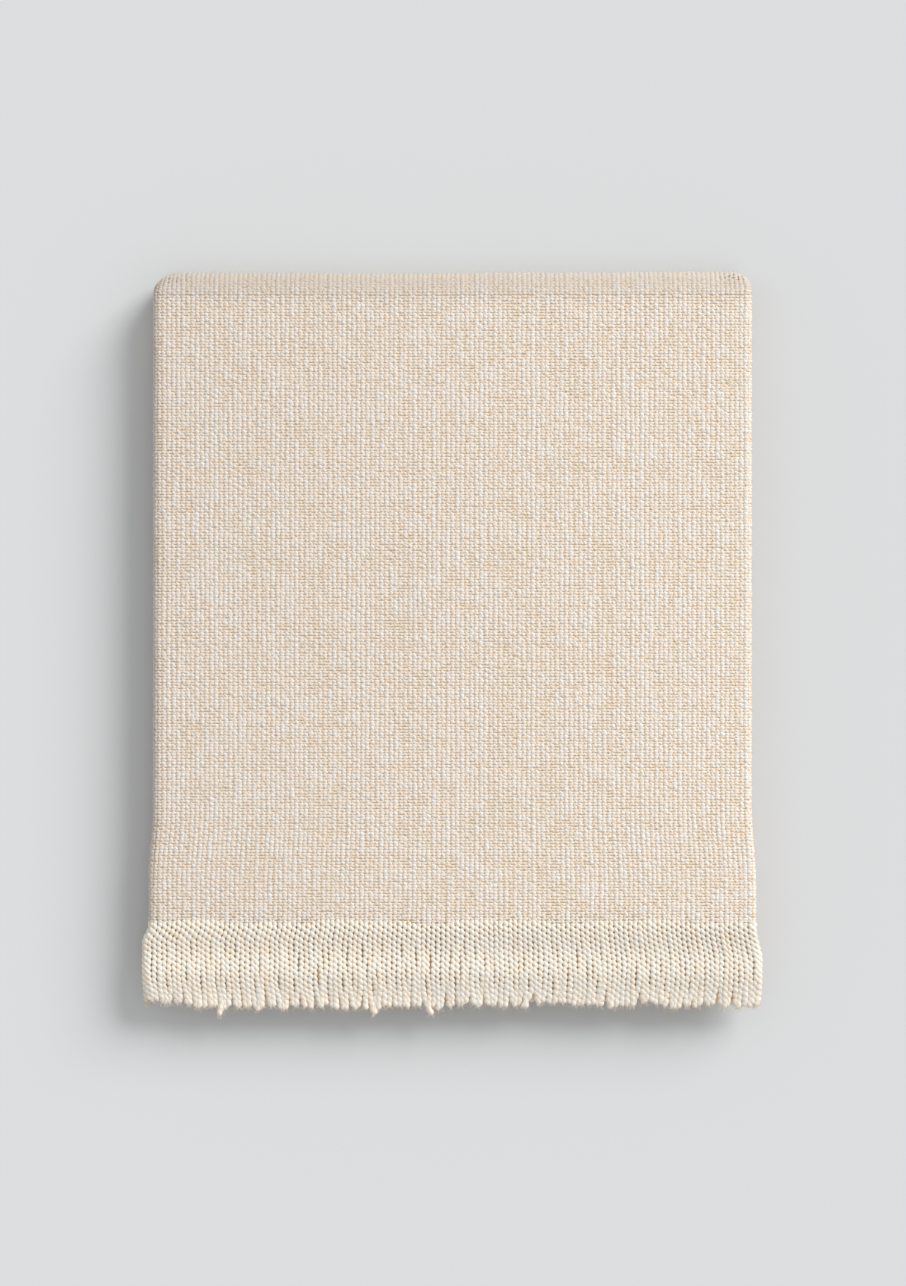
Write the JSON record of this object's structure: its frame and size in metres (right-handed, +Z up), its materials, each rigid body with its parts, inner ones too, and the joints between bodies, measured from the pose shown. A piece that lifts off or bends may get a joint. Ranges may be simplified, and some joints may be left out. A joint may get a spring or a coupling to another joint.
{
  "type": "throw blanket",
  "caption": "Folded fringed throw blanket of chunky slubby plain weave, lying flat with a smooth folded back edge and its fringe spread along the front.",
  "frame": {"origin": "on the floor, under the middle of the folded throw's outline, fringe included", "axes": "+Z up, out of the top face; +Y towards the smooth folded back edge, so the fringe points to -Y; +X to the right as seen from above with the fringe nearest"},
  "size_m": [0.4423, 0.5268, 0.034],
  "materials": {
    "woven_cloth": "matte, cream warp and beige weft",
    "fringe_yarn": "matte crimped cream yarn"
  },
  "bodies": {
    "root": {"throw_cloth": "woven_cloth", "front_fringe": "fringe_yarn", "inner_fringe": "fringe_yarn"}
  },
  "joints": []
}
